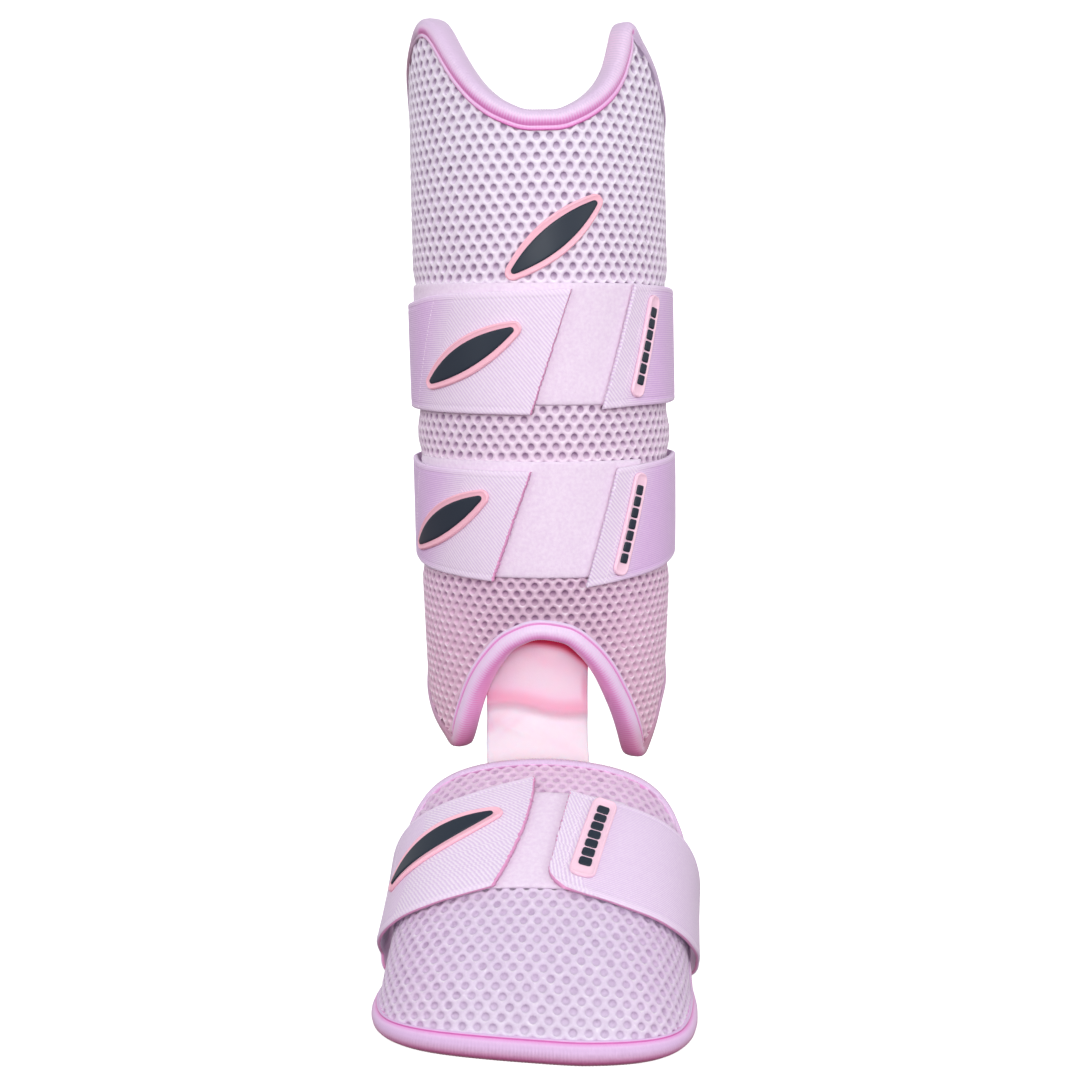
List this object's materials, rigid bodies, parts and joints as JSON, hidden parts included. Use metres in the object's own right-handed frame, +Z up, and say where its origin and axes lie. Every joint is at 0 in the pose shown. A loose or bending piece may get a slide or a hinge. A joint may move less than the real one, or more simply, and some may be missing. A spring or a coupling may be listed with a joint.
{
  "type": "batter's leg guard",
  "caption": "Padded batter's leg guard: a mesh-covered shin panel and foot panel joined by a soft tongue, each with bound edges and elastic straps that close on loop fabric.",
  "frame": {"origin": "on the axis of the leg, at mid height of the shin panel", "axes": "+Z up the leg, -Y the way the guard faces, +X to the right when seen from the front"},
  "size_m": [0.1321, 0.2313, 0.3948],
  "materials": {
    "mesh": "pale lilac spacer mesh",
    "binding": "pink ribbed edge binding with a soft sheen",
    "elastic": "lilac woven elastic",
    "loop": "pale pink loop pile",
    "tongue": "smooth salmon pink cloth",
    "badge": "moulded salmon pink rubber",
    "inlay": "satin black rubber"
  },
  "bodies": {
    "root": {"shin_panel": "mesh", "shin_binding": "binding", "shin_badge": "badge", "shin_badge_inlay": "inlay", "upper_loop_patch": "loop", "upper_strap": "elastic", "upper_strap_badge": "badge", "upper_strap_badge_inlay": "inlay", "upper_strap_label": "badge", "upper_strap_label_bar": "inlay", "lower_loop_patch": "loop", "lower_strap": "elastic", "lower_strap_badge": "badge", "lower_strap_badge_inlay": "inlay", "lower_strap_label": "badge", "lower_strap_label_bar": "inlay", "tongue": "tongue", "foot_panel": "mesh", "foot_binding": "binding", "foot_loop_patch": "loop", "foot_strap": "elastic", "foot_strap_badge": "badge", "foot_strap_badge_inlay": "inlay", "foot_strap_label": "badge", "foot_strap_label_bar": "inlay"}
  },
  "joints": []
}
